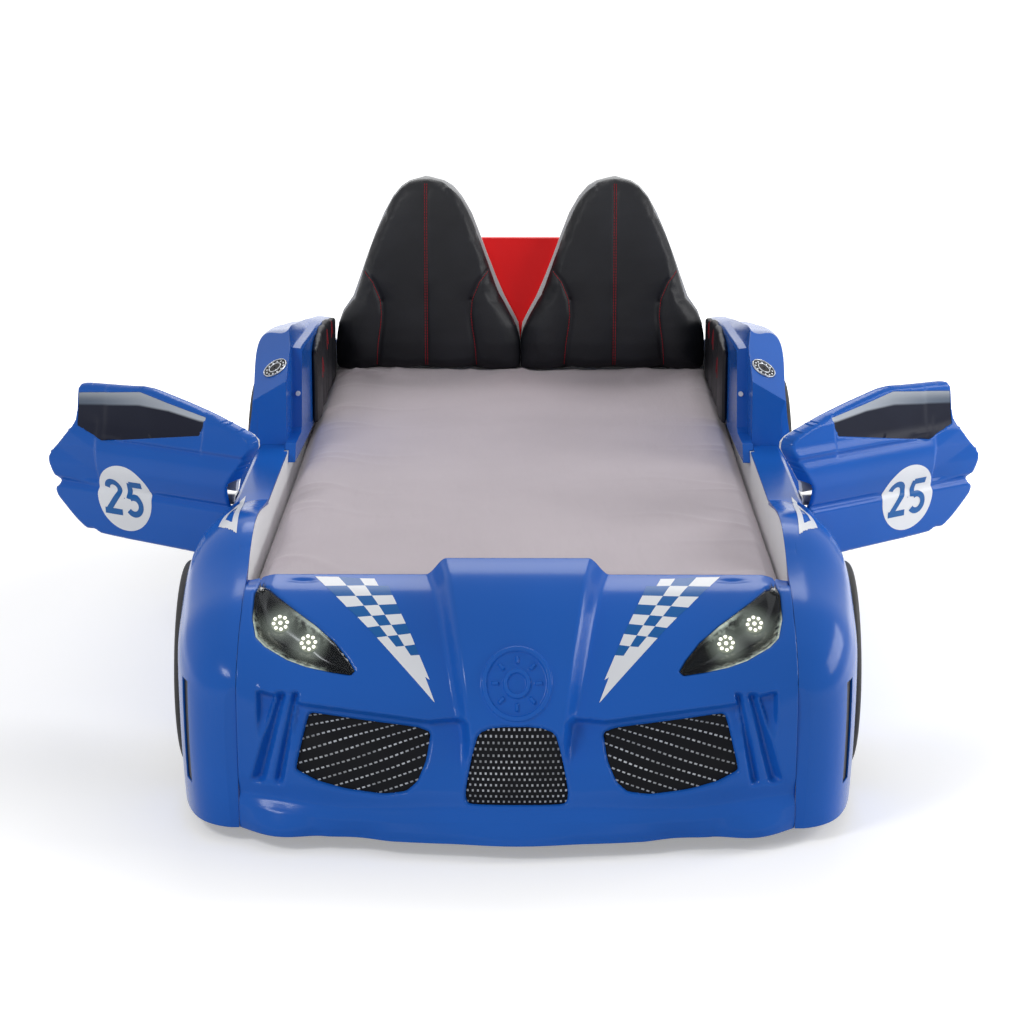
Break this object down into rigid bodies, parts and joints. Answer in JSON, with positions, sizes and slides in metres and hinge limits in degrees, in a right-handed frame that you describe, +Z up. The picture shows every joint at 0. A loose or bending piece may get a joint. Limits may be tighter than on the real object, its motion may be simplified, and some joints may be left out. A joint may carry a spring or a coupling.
{
  "type": "children's car bed",
  "caption": "Single bed shaped as a racing car: moulded body with a nose and lamps, fenders, fixed wheels, two hinged doors, seat-shaped headboard pads, side pads and a mattress.",
  "frame": {"origin": "on the floor, under the middle of the bed's length and width", "axes": "+X to the side that is on the right in the picture, +Y from the nose to the head end, +Z up"},
  "size_m": [1.882, 2.248, 0.889],
  "materials": {
    "white_board": "white laminated particle board, satin",
    "red_board": "red laminated particle board, satin",
    "timber": "planed softwood and plywood, plain",
    "sheet_fabric": "fitted cotton sheet, mauve grey",
    "blue_plastic": "moulded, glossy mid blue",
    "black_plastic": "moulded, matt black",
    "white_plastic": "moulded, satin white",
    "black_mesh": "perforated, matt black",
    "lamp_lens": "smoked, glossy",
    "window_tint": "tinted dark sheet, glossy",
    "light_diffuser": "warm white diffuser",
    "tyre_plastic": "moulded tread, matt black",
    "rim_silver": "silver paint, satin",
    "steel": "zinc plated",
    "rubber": "soft, white",
    "black_leather": "near-black imitation leather, satin"
  },
  "bodies": {
    "bed_frame": {"foot_board": "white_board", "head_board": "white_board", "red_back_panel": "red_board", "centre_beam": "timber", "bed_slats": "timber", "centre_legs": "timber", "leg_glides": "black_plastic", "board_feet": "black_plastic", "mattress": "sheet_fabric", "grille_mesh_middle": "black_mesh", "front_fascia": "blue_plastic", "light_driver": "white_plastic", "hub_caps": "rim_silver", "hinge_screws": "steel", "door_buffers": "rubber", "side_board_left": "white_board", "slat_rail_left": "timber", "grille_mesh_left": "black_mesh", "headlight_lens_left": "lamp_lens", "headlight_housing_left": "black_plastic", "light_modules_left": "light_diffuser", "front_fender_left": "blue_plastic", "vent_mesh_left": "black_mesh", "sill_cover_left": "blue_plastic", "rear_fender_left": "blue_plastic", "tyre_front_left": "tyre_plastic", "rim_front_left": "rim_silver", "tyre_rear_left": "tyre_plastic", "rim_rear_left": "rim_silver", "hinge_bracket_left": "steel", "seat_pad_left": "black_leather", "seat_board_left": "white_board", "side_pad_left": "black_leather", "side_board_right": "white_board", "slat_rail_right": "timber", "grille_mesh_right": "black_mesh", "headlight_lens_right": "lamp_lens", "headlight_housing_right": "black_plastic", "light_modules_right": "light_diffuser", "front_fender_right": "blue_plastic", "vent_mesh_right": "black_mesh", "sill_cover_right": "blue_plastic", "rear_fender_right": "blue_plastic", "tyre_front_right": "tyre_plastic", "rim_front_right": "rim_silver", "tyre_rear_right": "tyre_plastic", "rim_rear_right": "rim_silver", "hinge_bracket_right": "steel", "seat_pad_right": "black_leather", "seat_board_right": "white_board", "side_pad_right": "black_leather"},
    "door_left": {"door_shell_left": "blue_plastic", "door_window_left": "window_tint", "door_panel_left": "white_plastic", "hinge_leaf_left": "steel"},
    "door_right": {"door_shell_right": "blue_plastic", "door_window_right": "window_tint", "door_panel_right": "white_plastic", "hinge_leaf_right": "steel"}
  },
  "joints": [
    {"name": "door_left_hinge", "type": "hinge", "parent": "bed_frame", "child": "door_left", "pos_m": [-0.575, -0.3356, 0.39], "axis": [0, 0, 1], "range_deg": [-59, 9]},
    {"name": "door_right_hinge", "type": "hinge", "parent": "bed_frame", "child": "door_right", "pos_m": [0.575, -0.3356, 0.39], "axis": [0, 0, 1], "range_deg": [-14, 54]}
  ]
}
